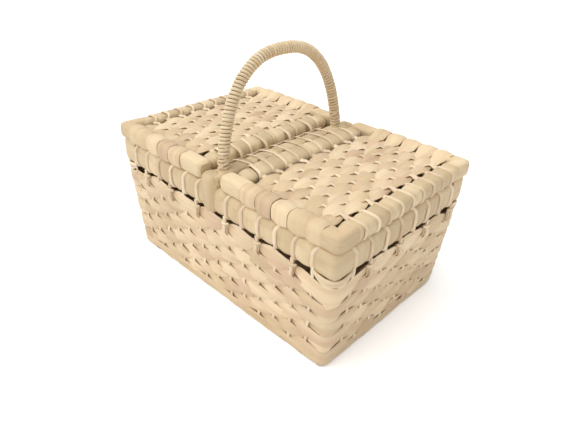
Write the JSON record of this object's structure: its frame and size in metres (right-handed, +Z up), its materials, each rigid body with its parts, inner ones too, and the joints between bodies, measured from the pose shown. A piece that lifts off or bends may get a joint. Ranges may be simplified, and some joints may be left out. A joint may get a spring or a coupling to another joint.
{
  "type": "picnic basket",
  "caption": "Rectangular basket of woven dried leaf with a wrapped rim, twin lids hinged on cords at a fixed centre bar and a wound arch handle.",
  "frame": {"origin": "middle of the base, on the surface that the basket stands on", "axes": "+X along the long side, towards the right lid; +Y across, from the front to the back; +Z up"},
  "size_m": [0.401, 0.267, 0.3201],
  "materials": {
    "weave": "dried leaf, matt",
    "wrap": "dried leaf, soft sheen",
    "cord": "twisted leaf cord, matt",
    "winding": "wound leaf strip, satin"
  },
  "bodies": {
    "basket": {"woven_basket": "weave", "wound_handle": "winding", "rim_frame": "wrap", "rim_corner_wraps": "wrap", "centre_bar": "wrap", "front_bar_wrap": "wrap", "back_bar_wrap": "wrap", "front_warp_cords": "cord", "back_warp_cords": "cord", "left_warp_cords": "cord", "right_warp_cords": "cord", "corner_cords": "cord", "bar_loops": "cord", "left_hinge_cord": "cord", "right_hinge_cord": "cord"},
    "left_lid": {"left_lid_frame": "wrap", "left_lid_hinge_rail": "wrap", "left_lid_panel": "weave", "left_lid_end_loops": "cord", "left_lid_rail_loops": "cord", "left_lid_hinge_loops": "cord", "left_lid_front_wraps": "wrap", "left_lid_back_wraps": "wrap", "left_lid_corner_wraps": "wrap"},
    "right_lid": {"right_lid_frame": "wrap", "right_lid_hinge_rail": "wrap", "right_lid_panel": "weave", "right_lid_end_loops": "cord", "right_lid_rail_loops": "cord", "right_lid_hinge_loops": "cord", "right_lid_front_wraps": "wrap", "right_lid_back_wraps": "wrap", "right_lid_corner_wraps": "wrap"}
  },
  "joints": [
    {"name": "left_lid_hinge", "type": "hinge", "parent": "basket", "child": "left_lid", "pos_m": [-0.015, 0, 0.18575], "axis": [0, 1, 0], "range_deg": [0, 60]},
    {"name": "right_lid_hinge", "type": "hinge", "parent": "basket", "child": "right_lid", "pos_m": [0.015, 0, 0.18575], "axis": [0, -1, 0], "range_deg": [0, 88]}
  ]
}
